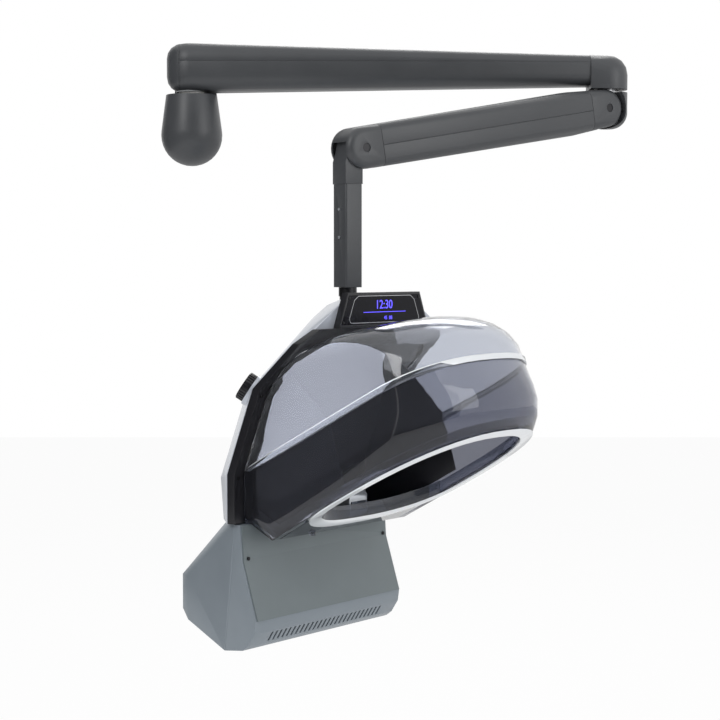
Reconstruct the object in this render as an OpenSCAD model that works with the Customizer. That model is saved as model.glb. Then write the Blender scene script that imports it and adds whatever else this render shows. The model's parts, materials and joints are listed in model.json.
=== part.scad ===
// Wall-arm hair steamer. Millimetres, +Z up, the wall is the plane y = 0 and the
// origin is the middle of the wall plate's back face. The upper arm runs along +X.

/* [Wall bracket] */
// Widest width of the wall plate
plate_w = 92; // [86:1:92]
// Thickness of the wall plate
plate_t = 8; // [6:0.5:10]
// Height of the centre of the plate's wide lower round
plate_low_z = -62; // [-66:1:-60]
// Radius of the plate's narrow upper round
plate_top_r = 32; // [30:1:34]
// Height of the centre of the plate's upper round
plate_top_z = 60; // [58:1:62]
// Distance from the wall to the upper arm's swing axis
reach = 80; // [76:1:90]
// Radius of the egg-shaped housing at its widest
pod_r = 53.5; // [52:0.5:56]
// Height of the housing's widest round
pod_z = -65; // [-67:1:-62]
// Radius of the housing at its flat top
pod_top_r = 44.5; // [43:0.5:47]
// Height of the housing's flat top
ledge_z = 5; // [3:0.5:6]
// Height spacing of the wall bolts
bolt_dz = 128; // [120:1:130]
// Side spacing of the wall bolts
bolt_dx = 44; // [40:1:46]
// Diameter of the wall bolt holes
bolt_d = 8.5; // [6.5:0.5:9]

/* [Upper arm] */
// Length between the upper arm's two swing axes
upper_len = 727; // [650:1:760]
// Height of the upper arm at the wall
upper_h_wall = 84; // [78:1:88]
// Height of the upper arm at the elbow
upper_h_elbow = 53; // [50:1:58]
// Radius of the upper arm's round end at the wall
upper_r_wall = 43; // [40:0.5:45]
// Width of the upper arm at the elbow
upper_w_elbow = 66; // [62:1:70]
// Radius of the elbow cap
elbow_r = 36; // [35:0.5:37]
// Height of the elbow cap
elbow_cap_h = 60; // [58:1:64]
// Wall thickness of the arm covers
cover_t = 2.5; // [2:0.1:3]
// Height of the covers' joint above the arm's middle
upper_joint = 9; // [6:0.5:12]

/* [Pivots] */
// Diameter of the wall spindle
wall_spindle_d = 28; // [24:1:30]
// Diameter of the elbow spindle
elbow_spindle_d = 22; // [18:1:23]
// Diameter of the two lower arm pins
arm_pin_d = 14; // [10:1:15]
// Diameter of the two tie rod pins
tie_pin_d = 8; // [6:0.5:9]
// Wall thickness of the bushes
bush_t = 4; // [3:0.5:4.5]
// Radial clearance of a running fit
run_gap = 0.05; // [0.02:0.01:0.08]
// Gap between faces that turn past each other
face_gap = 0.3; // [0.3:0.05:0.6]

/* [Lower arm] */
// Length between the lower arm's two pins
lower_len = 512; // [480:1:540]
// Downward slope of the lower arm as drawn
lower_slope = 9.8; // [8:0.1:12]
// Direction of the lower arm seen from above
lower_turn = 213.2; // [205:0.1:225]
// Height of the tilt pin
tilt_z = -20; // [-21:0.5:-18]
// Distance from the elbow axis to the tilt pin
tilt_offset = 19; // [19:0.5:21]
// Height of the lower arm near the elbow
lower_h = 75; // [72:1:75]
// Height of the lower arm near the post
lower_h_post = 68; // [67:1:70]
// Width of the lower arm
lower_w = 62; // [60:1:66]
// Distance between a main pin and its tie rod pin
tie_offset = 20; // [19.5:0.5:21]

/* [Post] */
// Width of the post across the lower arm
post_w = 38; // [36:0.5:39]
// Depth of the post along the lower arm
post_d = 32; // [31:0.5:34]
// Length of the post from its pin's height to its lower end
post_len = 219.7; // [200:0.1:240]
// Distance from the post's pin to the swivel axis
post_reach = 16; // [15:0.5:17]
// Length of the post's sleeve
sleeve_len = 163; // [150:1:168]
// Diameter of the swivel spindle
swivel_d = 18; // [16:0.5:18.5]
// Diameter of the collar under the post
collar_d = 29; // [28:0.5:31]

/* [Head] */
// Turn of the head about the swivel
head_turn = 50; // [0:1:90]
// Half the width of the black bezel
bezel_hw = 184; // [182:1:188]
// Half the width of the hood where it meets the bezel
arch_hw = 164; // [163:0.5:166]
// Distance that the hood's glass laps over the bezel
lap = 1.5; // [1:0.1:2.5]
// Thickness of the bezel
bezel_t = 15; // [13:1:16]
// Wall thickness of the head's shells
shell_t = 3; // [2.5:0.1:3.5]
// Depth of the rear shell behind the bezel
rear_depth = 43; // [40:1:48]
// Wall thickness of the clear hood parts
glass_t = 3; // [2.5:0.1:4]
// Half the width of the hood at its seam
seam_hw = 162; // [160:0.5:163]
// Half the width of the visor at its rim
rim_hw = 172; // [170:1:174]
// Distance that the hood's seam reaches in front of the swivel
seam_front = 283; // [276:1:288]
// Distance that the visor's rim reaches in front of the swivel
rim_front = 314; // [308:1:318]
// Outward bulge of the visor's wall between seam and rim
visor_bulge = 14; // [8:1:16]
// Width of the gutter along the visor's rim
gutter_w = 22; // [20:1:24]
// Height of the gutter's inner wall
gutter_h = 20; // [16:1:24]
// Half the width of the lower box's front panel
panel_hw = 174; // [170:1:176]
// Thickness of the front panel
panel_t = 2.5; // [2:0.1:3]
// Number of vent slots
vent_count = 26; // [12:1:28]
// Distance between vent slots
vent_pitch = 10.6; // [9:0.1:11]
// Width of a vent slot
vent_w = 4.5; // [3.5:0.1:5.5]
// Half the width of the display box at its top
display_hw = 88; // [84:1:92]
// Height of the display box
display_h = 53.5; // [50:0.5:54]
// Depth of the display box
display_t = 12; // [11:0.5:14]

/* [Water and steam] */
// Diameter of the ribbed filler cap
filler_d = 46; // [42:1:50]
// Thickness of the ribbed filler cap
filler_t = 13; // [12.5:0.5:18]
// Number of ribs on the filler cap
filler_ribs = 28; // [20:1:32]
// Diameter of the tank's filler neck
neck_d = 30; // [26:1:32]
// Diameter of the boiler
boiler_d = 64; // [56:1:70]
// Height of the boiler
boiler_h = 96; // [80:1:100]
// Diameter of the steam pipe
steam_pipe_d = 16; // [14:1:18]
// Diameter of the cooling fan's rotor
fan_d = 68; // [56:1:70]

/* [Hidden] */
$fn = 48;

// Heights and sizes that follow from the driving dimensions
plate_low_r = plate_w / 2;
neck_r = plate_low_r - 3;
boss_r = wall_spindle_d / 2 + 8;
upper_low_z = ledge_z + 4.5;
upper_mid_z = upper_low_z + upper_h_wall / 2;
upper_drop = 5;
beam_w = 34;
beam_h = 30;
beam_wall = 3;
beam_low_z = upper_mid_z - upper_drop - beam_h / 2;
hub_wall_r = wall_spindle_d / 2 + bush_t + 9;
hub_elbow_r = elbow_spindle_d / 2 + bush_t + 7;
wall_cap_x = -18;
elbow_cap_x = upper_len - 32;
elbow_cap_z = upper_mid_z - upper_drop - upper_h_elbow / 2 - 6;
elbow_round = 34;
knuckle_top_z = elbow_cap_z - 5;
knuckle_low_z = -54;
knuckle_round = 28;
knuckle_bore = 34;
disc_elbow_r = 32.5;
disc_post_r = lower_h_post / 2 - 0.5;
disc_round = 12;
post_slack = 1;
slot_hw = post_w / 2 + post_slack;
tongue_hw = post_w / 2;
cheek_in = slot_hw + 0.5;
cheek_t = 5;
cheek_r = 18;
lower_cap_from = 38;
lower_cap_to = lower_len - 32;
tie_slot_hw = 5.3;
tie_hw = 4.5;
tie_eye_r = 7.5;
lobe_r = 8.5;
post_split = post_len - sleeve_len;
stem_d = swivel_d + 2 * bush_t;
swivel_bush_d = swivel_d + 3;
bush_len = 20;
pivot_x = upper_len + tilt_offset * cos(lower_turn);
pivot_y = -reach + tilt_offset * sin(lower_turn);
post_pin = lower_len * cos(lower_slope) + post_reach;
post_x = pivot_x + post_pin * cos(lower_turn);
post_y = pivot_y + post_pin * sin(lower_turn);
post_z = tilt_z - lower_len * sin(lower_slope);
head_z = post_z - post_len;
spring_from = 96;
spring_to = 330;
spring_z = 9;
spring_r = 9;
spring_wire = 3.2;
spring_turns = 16;
rod_d = 8;

// Side profile of the head, as [depth, height] from the swivel axis and the post's lower end
bezel_y = 74;
bezel_low_z = -366;
bend_low_z = -289;
bend_high_z = -153;
bend_high_y = 19;
bezel_top_z = -61;
bezel_top_y = -74;
arch_top_z = bezel_top_z - 28;
seam_z = -248;
seam_slope = 0.52;
rim_z = -378;
rim_slope = 0.55;
floor_z = -365.5;
floor_y = 62;
floor_rise = 0.42;
floor_bend_y = (rim_z - floor_z + floor_rise * floor_y) / (rim_slope + floor_rise);
hood_yc = -170;
rim_yc = -110;
oval_back = 6;
rear_y = bezel_y + bezel_t + rear_depth;
panel_top_z = bezel_low_z - 1.5;
panel_low_z = -514;
panel_bend_z = -425;
box_low_z = -568;
box_rear_y = 222;
box_rear_hw = 152;
frame_y = bezel_y + 12;
frame_t = 3;
frame_hw = 60;
frame_top_z = -34;
shelf_z = -535;
collar_gap = 1;
dome_front_y = bezel_top_y + 10;
display_y = dome_front_y - display_t;
display_top_z = bezel_top_z + display_h + 0.5;
display_lean = 21;

// A rounded rectangle made of true arcs
module round_rect(w, h, r) {
    square([w - 2 * r, h], center = true);
    square([w, h - 2 * r], center = true);
    for (sx = [-1, 1], sy = [-1, 1])
        translate([sx * (w / 2 - r), sy * (h / 2 - r)]) circle(r);
}

// A puck with rounded edges, standing on z = -h/2
module puck(r, h, round, steps = 32) {
    rotate_extrude($fn = steps) intersection() {
        round_rect(2 * r, h, round, $fn = 16);
        translate([0, -h]) square([r + 1, 2 * h]);
    }
}

// A thin slab with a rounded section, facing along X
module slab(w, h, r) {
    rotate([90, 0, 90]) linear_extrude(0.2) round_rect(w, h, r, $fn = 32);
}

// A ring or tube on the Z axis
module tube(d_out, d_in, h) {
    difference() {
        cylinder(d = d_out, h = h);
        translate([0, 0, -1]) cylinder(d = d_in, h = h + 2);
    }
}

// A pan-head screw with its head outward along +Z and its shank below
module screw(head_d, head_h, shank_d, shank_l) {
    difference() {
        cylinder(d = head_d, h = head_h);
        for (a = [0, 90]) rotate(a)
            translate([-head_d * 0.32, -head_d * 0.06, head_h * 0.45])
                cube([head_d * 0.64, head_d * 0.12, head_h]);
    }
    translate([0, 0, -shank_l]) cylinder(d = shank_d, h = shank_l);
}

module at_elbow() { translate([upper_len, -reach, 0]) children(); }

module at_tilt_level() { translate([pivot_x, pivot_y, tilt_z]) rotate([0, 0, lower_turn]) children(); }

module at_lower_arm() { at_tilt_level() rotate([0, lower_slope, 0]) children(); }

// The post's swivel axis, at the height of the post's pin
module at_post() { translate([post_x, post_y, post_z]) rotate([0, 0, lower_turn]) children(); }

module at_post_pin() { at_post() translate([-post_reach, 0, 0]) children(); }

module at_head() { translate([post_x, post_y, head_z]) rotate([0, 0, head_turn]) children(); }

// The egg outline of the wall plate: two rounds joined by their common tangents
module egg() {
    lean = asin((plate_low_r - plate_top_r) / (plate_top_z - plate_low_z));
    translate([0, plate_low_z]) circle(plate_low_r);
    translate([0, plate_top_z]) circle(plate_top_r);
    polygon([
        [-plate_low_r * cos(lean), plate_low_z + plate_low_r * sin(lean)],
        [plate_low_r * cos(lean), plate_low_z + plate_low_r * sin(lean)],
        [plate_top_r * cos(lean), plate_top_z + plate_top_r * sin(lean)],
        [-plate_top_r * cos(lean), plate_top_z + plate_top_r * sin(lean)]]);
}

// The places of the four wall bolts, as [x, z]
bolt_mid_z = -14;
BOLTS = [for (sx = [-1, 1], sz = [-1, 1]) [sx * bolt_dx / 2, bolt_mid_z + sz * bolt_dz / 2]];

module wall_plate() {
    color("dimgray") difference() {
        union() {
            rotate([90, 0, 0]) linear_extrude(plate_t) egg();
            for (sx = [-1, 1]) translate([sx * (neck_r - shell_t - 3.3), -plate_t - lug_l / 2 + 0.5, pod_z])
                cube([6, lug_l + 1, 14], center = true);
        }
        for (b = BOLTS) translate([b[0], 1, b[1]]) rotate([90, 0, 0])
            cylinder(d = bolt_d, h = plate_t + 2);
        at_cover_screw() translate([0, 0, -30]) cylinder(d = cover_screw_d, h = 30);
    }
}

// The two screws in the housing's neck, square to its sides
lug_l = 20;
cover_screw_d = 3.4;
neck_far = norm([neck_r, reach - plate_t]);
neck_lean = atan2(reach - plate_t, neck_r) - acos(pod_r / neck_far);
module at_cover_screw() {
    for (sx = [-1, 1]) translate([sx * (neck_r + 12 * tan(neck_lean)), -plate_t - 12, pod_z])
        rotate([0, 0, sx * neck_lean]) rotate([0, 90 * sx, 0]) children();
}

// The steel block that carries the spindle, with its boss up to the washer
bracket_low_z = -46;
module pivot_bracket() {
    color("silver") difference() {
        union() {
            translate([0, -reach, bracket_low_z]) cylinder(r = boss_r, h = ledge_z - bracket_low_z);
            translate([-boss_r, -reach, bracket_low_z]) cube([2 * boss_r, reach - plate_t, 40]);
            translate([-28, -plate_t - 6, bracket_low_z - 4]) cube([56, 6, 48]);
        }
        translate([0, -reach, bracket_low_z - 14]) cylinder(d = wall_spindle_d, h = 90);
    }
}

// Front outline of the housing: a round of radius r below, narrowing to top_r at its flat top
module pod_outline(r, top_r, top) {
    rise = ledge_z - pod_z;
    lean = atan2(rise, top_r) - acos(r / sqrt(rise * rise + top_r * top_r));
    translate([0, pod_z]) circle(r);
    polygon([[-r * cos(lean), pod_z + r * sin(lean)], [r * cos(lean), pod_z + r * sin(lean)],
        [top_r, top], [-top_r, top]]);
}

// The housing's form drawn in by t: a turned pod that narrows back to the plate
module pod_solid(t) {
    hull() {
        translate([0, -reach, 0]) rotate_extrude($fn = 36) intersection() {
            pod_outline(pod_r - t, pod_top_r - t, ledge_z - t, $fn = 36);
            translate([0, -200]) square([pod_r, 200 + ledge_z - t]);
        }
        translate([0, -plate_t + (t > 0 ? 1 : 0), 0]) rotate([90, 0, 0]) linear_extrude(t > 0 ? 2 : 1)
            intersection() {
                pod_outline(neck_r - t, pod_top_r - 10 - t, ledge_z - t, $fn = 36);
                translate([-100, -200]) square([200, 200 + ledge_z - t]);
            }
    }
}

module bracket_cover() {
    color("dimgray") difference() {
        pod_solid(0);
        pod_solid(shell_t);
        translate([0, -reach, -10]) cylinder(r = boss_r + 0.3, h = 40);
        at_cover_screw() translate([0, 0, -10]) cylinder(d = cover_screw_d, h = 20);
    }
}

module cover_screws() {
    color("silver") at_cover_screw() screw(7, 1.8, cover_screw_d, 9);
}

module wall_spindle() {
    color("silver") translate([0, -reach, 0]) {
        translate([0, 0, bracket_low_z - 2]) cylinder(d = wall_spindle_d, h = hub_wall_high + 2 - bracket_low_z + 2);
        translate([0, 0, hub_wall_high + face_gap]) cylinder(d = wall_spindle_d + 10, h = 5);
    }
}

module wall_washer() {
    color("white") translate([0, -reach, ledge_z]) tube(44, wall_spindle_d + 0.6, upper_low_z - ledge_z - face_gap);
}

// Two flanged bushes, one at each end of a hub that spans z0 to z1
module bush_pair(pin_d, z0, z1, length) {
    for (z = [z0, z1 - length]) translate([0, 0, z]) tube(pin_d + 2 * bush_t, pin_d + 2 * run_gap, length);
}

hub_wall_low = upper_low_z;
hub_wall_high = upper_low_z + upper_h_wall - 18;
hub_elbow_low = elbow_cap_z + 0.5;
hub_elbow_high = elbow_cap_z + elbow_cap_h - 12;

module wall_bushes() {
    color("peru") translate([0, -reach, 0]) bush_pair(wall_spindle_d, hub_wall_low, hub_wall_high, 22);
}

module elbow_bushes() {
    color("peru") at_elbow() bush_pair(elbow_spindle_d, hub_elbow_low, hub_elbow_high, 16);
}

module upper_beam() {
    color("gray") difference() {
        union() {
            translate([0, -reach, hub_wall_low]) cylinder(r = hub_wall_r, h = hub_wall_high - hub_wall_low);
            at_elbow() translate([0, 0, hub_elbow_low]) cylinder(r = hub_elbow_r, h = hub_elbow_high - hub_elbow_low);
            translate([0, -reach - beam_w / 2, beam_low_z]) cube([upper_len, beam_w, beam_h]);
        }
        translate([hub_wall_r + 10, -reach - beam_w / 2 + beam_wall, beam_low_z + beam_wall])
            cube([upper_len - hub_wall_r - hub_elbow_r - 20, beam_w - 2 * beam_wall, beam_h - 2 * beam_wall]);
        translate([0, -reach, hub_wall_low - 1]) cylinder(d = wall_spindle_d + 2 * bush_t, h = 100);
        at_elbow() translate([0, 0, hub_elbow_low - 1]) cylinder(d = elbow_spindle_d + 2 * bush_t, h = 100);
    }
}

// The tapered body of the upper arm, drawn in by t on every side
module upper_solid(t) {
    translate([0, -reach, upper_mid_z]) hull() {
        puck(upper_r_wall - t, upper_h_wall - 2 * t, 26 - t);
        translate([elbow_cap_x - 0.2, 0, -upper_drop]) slab(upper_w_elbow - 2 * t, upper_h_elbow - 2 * t, 20 - t);
    }
}

module upper_shell(x0, x1, z0, z1) {
    intersection() {
        difference() {
            upper_solid(0);
            upper_solid(cover_t);
            translate([0, -reach, 0]) cylinder(r = hub_wall_r + 0.5, h = upper_mid_z);
        }
        translate([x0, -reach - 60, z0]) cube([x1 - x0, 120, z1 - z0]);
    }
}

module upper_cover_top() {
    color("dimgray") upper_shell(wall_cap_x, elbow_cap_x, upper_mid_z + upper_joint, upper_mid_z + 60);
}

module upper_cover_bottom() {
    color("dimgray") upper_shell(wall_cap_x, elbow_cap_x, upper_mid_z - 60, upper_mid_z + upper_joint - 0.3);
}

module wall_end_cap() {
    color("dimgray") upper_shell(-60, wall_cap_x - 0.3, upper_mid_z - 60, upper_mid_z + 60);
}

// The elbow cap's form drawn in by t: rounded above, cut square at its lower edge
module elbow_solid(t) {
    h = 2 * (elbow_cap_h - t);
    translate([0, -reach, elbow_cap_z]) intersection() {
        hull() {
            translate([upper_len, 0, 0]) puck(elbow_r - t, h, elbow_round - t, 32);
            translate([elbow_cap_x + 0.3, 0, 0]) slab(2 * (elbow_r - t), h, 26 - t);
        }
        translate([elbow_cap_x + t, -elbow_r, t]) cube([2 * elbow_cap_h, 2 * elbow_r, elbow_cap_h]);
    }
}

module elbow_cap() {
    color("dimgray") difference() {
        elbow_solid(0);
        elbow_solid(cover_t);
        translate([elbow_cap_x - 1, -reach - beam_w / 2 - 0.5, beam_low_z - 0.5])
            cube([10, beam_w + 1, beam_h + 1]);
        at_elbow() translate([0, 0, elbow_cap_z - 1]) cylinder(r = hub_elbow_r + 0.5, h = 10);
    }
}

// The drum that turns under the elbow, with the tongue between the arm's cheeks
module knuckle() {
    drum_h = knuckle_top_z - knuckle_low_z;
    color("dimgray") difference() {
        union() {
            difference() {
                at_elbow() translate([0, 0, knuckle_low_z]) rotate_extrude() {
                    translate([0, knuckle_round]) square([elbow_r, drum_h - knuckle_round]);
                    square([elbow_r - knuckle_round, knuckle_round]);
                    intersection() {
                        translate([elbow_r - knuckle_round, knuckle_round]) circle(knuckle_round);
                        translate([elbow_r - knuckle_round, 0]) square(knuckle_round);
                    }
                }
                at_tilt_level() rotate([90, 0, 0]) cylinder(r = disc_elbow_r + 3.5, h = 200, center = true);
            }
            at_tilt_level() rotate([90, 0, 0]) linear_extrude(2 * tongue_hw, center = true) {
                circle(16);
                translate([0, -tie_offset]) circle(lobe_r);
                translate([-lobe_r, -tie_offset]) square([2 * lobe_r, tie_offset]);
                translate([-tilt_offset - 10, -28]) square([tilt_offset + 10, 18]);
                translate([-tilt_offset - 24, -12]) square([tilt_offset + 17, 12 + knuckle_top_z - tilt_z]);
            }
        }
        at_tilt_level() {
            rotate([90, 0, 0]) cylinder(d = arm_pin_d + 2 * run_gap, h = 100, center = true);
            translate([0, 0, -tie_offset]) rotate([90, 0, 0]) cylinder(d = tie_pin_d, h = 100, center = true);
            translate([-10, -tie_slot_hw, -tie_offset - 30]) cube([60, 2 * tie_slot_hw, 40]);
        }
        at_elbow() translate([0, 0, knuckle_top_z - knuckle_bore]) cylinder(d = elbow_spindle_d, h = 50);
    }
}

module elbow_spindle() {
    color("silver") at_elbow() {
        translate([0, 0, knuckle_top_z - knuckle_bore])
            cylinder(d = elbow_spindle_d, h = knuckle_bore + hub_elbow_high - knuckle_top_z + 2);
        translate([0, 0, hub_elbow_high + face_gap]) cylinder(d = elbow_spindle_d + 8, h = 4);
    }
}

module elbow_washer() {
    color("silver") at_elbow() translate([0, 0, knuckle_top_z])
        tube(32, elbow_spindle_d + 0.6, hub_elbow_low - knuckle_top_z - face_gap);
}

// The folded steel channel inside the lower arm, with the pin bores in its two sides
module lower_beam() {
    web_z = 22;
    color("gray") at_lower_arm() difference() {
        union() {
            for (sy = [-1, 1]) translate([0, sy * (cheek_in + cheek_t / 2), 0]) rotate([90, 0, 0])
                linear_extrude(cheek_t, center = true) {
                    for (x = [0, lower_len]) translate([x, 0]) circle(cheek_r);
                    translate([0, -cheek_r]) square([lower_len, 2 * cheek_r]);
                    translate([60, 0]) square([lower_len - 120, web_z + 3]);
                }
            translate([60, -cheek_in - cheek_t, web_z]) cube([lower_len - 120, 2 * (cheek_in + cheek_t), 3]);
            for (x = [spring_from - 6, spring_to]) translate([x, -cheek_in - 1, -3])
                cube([6, 2 * cheek_in + 2, web_z + 4]);
        }
        for (x = [0, lower_len]) translate([x, 0, 0]) rotate([90, 0, 0]) cylinder(d = arm_pin_d, h = 200, center = true);
        translate([0, 0, spring_z]) rotate([0, 90, 0]) cylinder(d = rod_d + 0.4, h = lower_len);
    }
}

// The tapered body of the lower arm, drawn in by t on every side
module lower_solid(t) {
    at_lower_arm() hull() {
        rotate([90, 0, 0]) puck(disc_elbow_r - t, lower_w - 2 * t, disc_round - t, 36);
        translate([2 * lower_cap_from, 0, 0]) slab(lower_w - 2 * t, lower_h - 2 * t, 20 - t);
        translate([lower_len, 0, 0]) rotate([90, 0, 0]) puck(disc_post_r - t, lower_w - 2 * t, disc_round - t);
    }
}

module lower_shell(x0, x1, z0, z1) {
    intersection() {
        difference() {
            lower_solid(0);
            lower_solid(cover_t);
        }
        at_lower_arm() translate([x0, -60, z0]) cube([x1 - x0, 120, z1 - z0]);
    }
}

module lower_cover_top() {
    color("dimgray") lower_shell(lower_cap_from + 0.3, lower_cap_to - 0.3, 0, 60);
}

module lower_cover_bottom() {
    color("dimgray") lower_shell(lower_cap_from + 0.3, lower_cap_to - 0.3, -60, -0.3);
}

// End cap over the tilt pin, open at its middle for the knuckle's tongue
module lower_elbow_cap() {
    color("dimgray") difference() {
        lower_shell(-60, lower_cap_from, -60, 60);
        at_lower_arm() {
            translate([-60, -slot_hw, -60]) cube([60 - 3, 2 * slot_hw, 120]);
            translate([-60, -slot_hw, -60]) cube([60 + 24, 2 * slot_hw, 60]);
            rotate([90, 0, 0]) cylinder(d = arm_pin_d + 0.4, h = 200, center = true);
        }
    }
}

// End cap over the post pin, slotted below so that the post can lean
module lower_post_cap() {
    color("dimgray") difference() {
        lower_shell(lower_cap_to, lower_len + 60, -60, 60);
        at_lower_arm() translate([lower_len, 0, 0]) {
            translate([-15, -slot_hw, -60]) cube([90, 2 * slot_hw, 60 + post_top_z + 3]);
            rotate([90, 0, 0]) cylinder(d = arm_pin_d + 0.4, h = 200, center = true);
        }
    }
}

module arm_pins() {
    color("silver") at_lower_arm() for (x = [0, lower_len])
        translate([x, 0, 0]) rotate([90, 0, 0]) cylinder(d = arm_pin_d, h = lower_w - 3, center = true);
}

// Points of one wire ring at a given fraction of the coil
function coil_ring(f, sides) = let (
        turn = 360 * spring_turns * f,
        axis = spring_from + 3 + (spring_to - spring_from - 18) * f)
    [for (k = [0:sides - 1]) let (
            a = 360 * k / sides,
            r = spring_r + spring_wire / 2 * cos(a))
        [axis + spring_wire / 2 * sin(a), r * cos(turn), spring_z + r * sin(turn)]];

// Faces that join rings of points into one closed tube
function tube_faces(rings, sides) = concat(
    [for (i = [0:rings - 2], k = [0:sides - 1]) let (a = i * sides, b = a + sides, n = (k + 1) % sides)
        each [[a + k, a + n, b + n], [a + k, b + n, b + k]]],
    [[for (k = [sides - 1:-1:0]) k]],
    [[for (k = [0:sides - 1]) (rings - 1) * sides + k]]);

module balance_spring() {
    sides = 6;
    steps = spring_turns * 9;
    color("silver") at_lower_arm() polyhedron(
        points = [for (i = [0:steps]) each coil_ring(i / steps, sides)],
        faces = tube_faces(steps + 1, sides), convexity = 10);
}

module spring_rod() {
    color("silver") at_lower_arm() translate([spring_from - 20, 0, spring_z]) rotate([0, 90, 0])
        cylinder(d = rod_d, h = spring_to - spring_from + 44);
}

module tension_nuts() {
    color("goldenrod") at_lower_arm() {
        for (x = [spring_from - 14, spring_to + 6]) translate([x, 0, spring_z]) rotate([0, 90, 0])
            difference() {
                cylinder(d = 15, h = 8, $fn = 6);
                translate([0, 0, -1]) cylinder(d = rod_d, h = 10);
            }
        translate([spring_to - 10, 0, spring_z]) rotate([0, 90, 0]) tube(24, rod_d + 0.2, 10);
    }
}

// The levelling link, parallel to the lower arm and straight below it
module tie_rod() {
    color("gray") at_tilt_level() translate([0, 0, -tie_offset]) rotate([0, lower_slope, 0]) difference() {
        rotate([90, 0, 0]) linear_extrude(2 * tie_hw, center = true) {
            circle(tie_eye_r);
            translate([lower_len, 0]) circle(tie_eye_r);
            translate([0, -4.5]) square([lower_len, 9]);
        }
        rotate([90, 0, 0]) cylinder(d = tie_pin_d + 2 * run_gap, h = 20, center = true);
        translate([lower_len, 0, 0]) rotate([90, 0, 0]) cylinder(d = tie_pin_d + 1, h = 20, center = true);
    }
}

module knuckle_tie_pin() {
    color("silver") at_tilt_level() translate([0, 0, -tie_offset]) rotate([90, 0, 0])
        cylinder(d = tie_pin_d, h = 2 * tongue_hw, center = true);
}

module post_tie_pin() {
    color("silver") at_post_pin() translate([0, 0, -tie_offset]) rotate([90, 0, 0])
        cylinder(d = tie_pin_d, h = 2 * tongue_hw, center = true);
}

// The cast top of the post: its tongue, and the round stem that holds the swivel
post_top_z = 11;
module post_head() {
    half = post_d / 2;
    color("dimgray") difference() {
        union() {
            at_post() rotate([90, 0, 0]) linear_extrude(post_w, center = true)
                polygon([[-half, -post_split], [half, -post_split], [half, -22], [half - 5.5, -5],
                    [half - 8, post_top_z], [-half, post_top_z]]);
            at_post_pin() rotate([90, 0, 0]) linear_extrude(post_w, center = true) {
                circle(13);
                translate([0, -tie_offset]) circle(lobe_r);
                translate([-lobe_r, -tie_offset]) square([2 * lobe_r, tie_offset]);
            }
            at_post() translate([0, 0, -post_len + 6]) cylinder(d = stem_d, h = post_len - post_split - 4);
        }
        at_post_pin() {
            rotate([90, 0, 0]) cylinder(d = arm_pin_d + 2 * run_gap, h = 100, center = true);
            translate([0, 0, -tie_offset]) {
                rotate([90, 0, 0]) cylinder(d = tie_pin_d, h = 100, center = true);
                for (a = [0, lower_slope + 35]) rotate([0, a, 0])
                    translate([-50, -tie_slot_hw, -9.5]) cube([60, 2 * tie_slot_hw, 19]);
            }
        }
        at_post() translate([0, 0, -post_len]) cylinder(d = swivel_bush_d, h = post_len - post_split - 12);
    }
}

// The rounded sleeve that slides up over the stem
module post_sleeve() {
    color("dimgray") at_post() difference() {
        translate([0, 0, -post_len]) linear_extrude(sleeve_len - 0.3) round_rect(post_d, post_w, 4);
        translate([0, 0, -post_len + 4]) cylinder(d = stem_d + 0.3, h = post_len);
        translate([0, 0, -post_len - 1]) cylinder(d = collar_d - 3, h = 10);
        for (z = SCREW_Z, sx = [-1, 1]) translate([sx * post_d / 2, 0, z]) rotate([0, 90 * sx, 0])
            translate([0, 0, -2.5]) cylinder(d = 2.5, h = 5);
    }
}

SCREW_Z = [-post_len + 123, -post_len + 79];

module post_screws() {
    color("white") at_post() for (z = SCREW_Z, sx = [-1, 1])
        translate([sx * post_d / 2, 0, z]) rotate([0, 90 * sx, 0]) screw(5, 1.2, 2.5, 2.2);
}

upper_bush_z = -post_split - 44;

module swivel_bushes() {
    color("peru") at_post() for (z = [-post_len + 6, upper_bush_z]) translate([0, 0, z])
        tube(swivel_bush_d, swivel_d + 2 * run_gap, bush_len);
}

// The stepped spindle that the head hangs on and turns about
module swivel_spindle() {
    top = post_len + upper_bush_z + bush_len;
    color("dimgray") at_head() difference() {
        union() {
            translate([0, 0, -face_gap - 14]) cylinder(d = collar_d, h = 14);
            translate([0, 0, frame_top_z - frame_t - 10]) cylinder(d = swivel_d, h = top + 1 - frame_top_z + frame_t + 10);
            translate([0, 0, frame_top_z]) cylinder(d = collar_d - 3, h = -frame_top_z - 12);
            translate([0, 0, top + face_gap]) cylinder(d = swivel_bush_d - 0.6, h = 6);
        }
        translate([0, 0, frame_top_z - 20]) cylinder(d = 9, h = post_len);
    }
}

module swivel_nut() {
    color("silver") at_head() translate([0, 0, frame_top_z - frame_t - 8]) difference() {
        cylinder(d = 34, h = 8, $fn = 6);
        translate([0, 0, -1]) cylinder(d = swivel_d, h = 10);
    }
}

// The depth of the bezel's front face at a height
function bezel_depth(z) = z <= bend_low_z ? bezel_y
    : z <= bend_high_z ? bezel_y + (bend_high_y - bezel_y) * (z - bend_low_z) / (bend_high_z - bend_low_z)
    : bend_high_y + (bezel_top_y - bend_high_y) * (z - bend_high_z) / (bezel_top_z - bend_high_z);

// Side profile of a band that follows the bezel, from back to back + t
module lean_band(back, t, z0, z1) {
    heights = concat([z0], [for (z = [bend_low_z, bend_high_z]) if (z > z0 && z < z1) z], [z1]);
    polygon(concat(
        [for (z = heights) [bezel_depth(z) + back, z]],
        [for (i = [len(heights) - 1:-1:0]) [bezel_depth(heights[i]) + back + t, heights[i]]]));
}

// Front outline of the bezel, down to z0
module bezel_outline(z0) {
    polygon([[-bezel_hw, z0], [bezel_hw, z0], [bezel_hw, bend_high_z],
        [bezel_hw - 13, bezel_top_z - 22], [bezel_hw - 34, bezel_top_z],
        [-bezel_hw + 34, bezel_top_z], [-bezel_hw + 13, bezel_top_z - 22], [-bezel_hw, bend_high_z]]);
}

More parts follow.
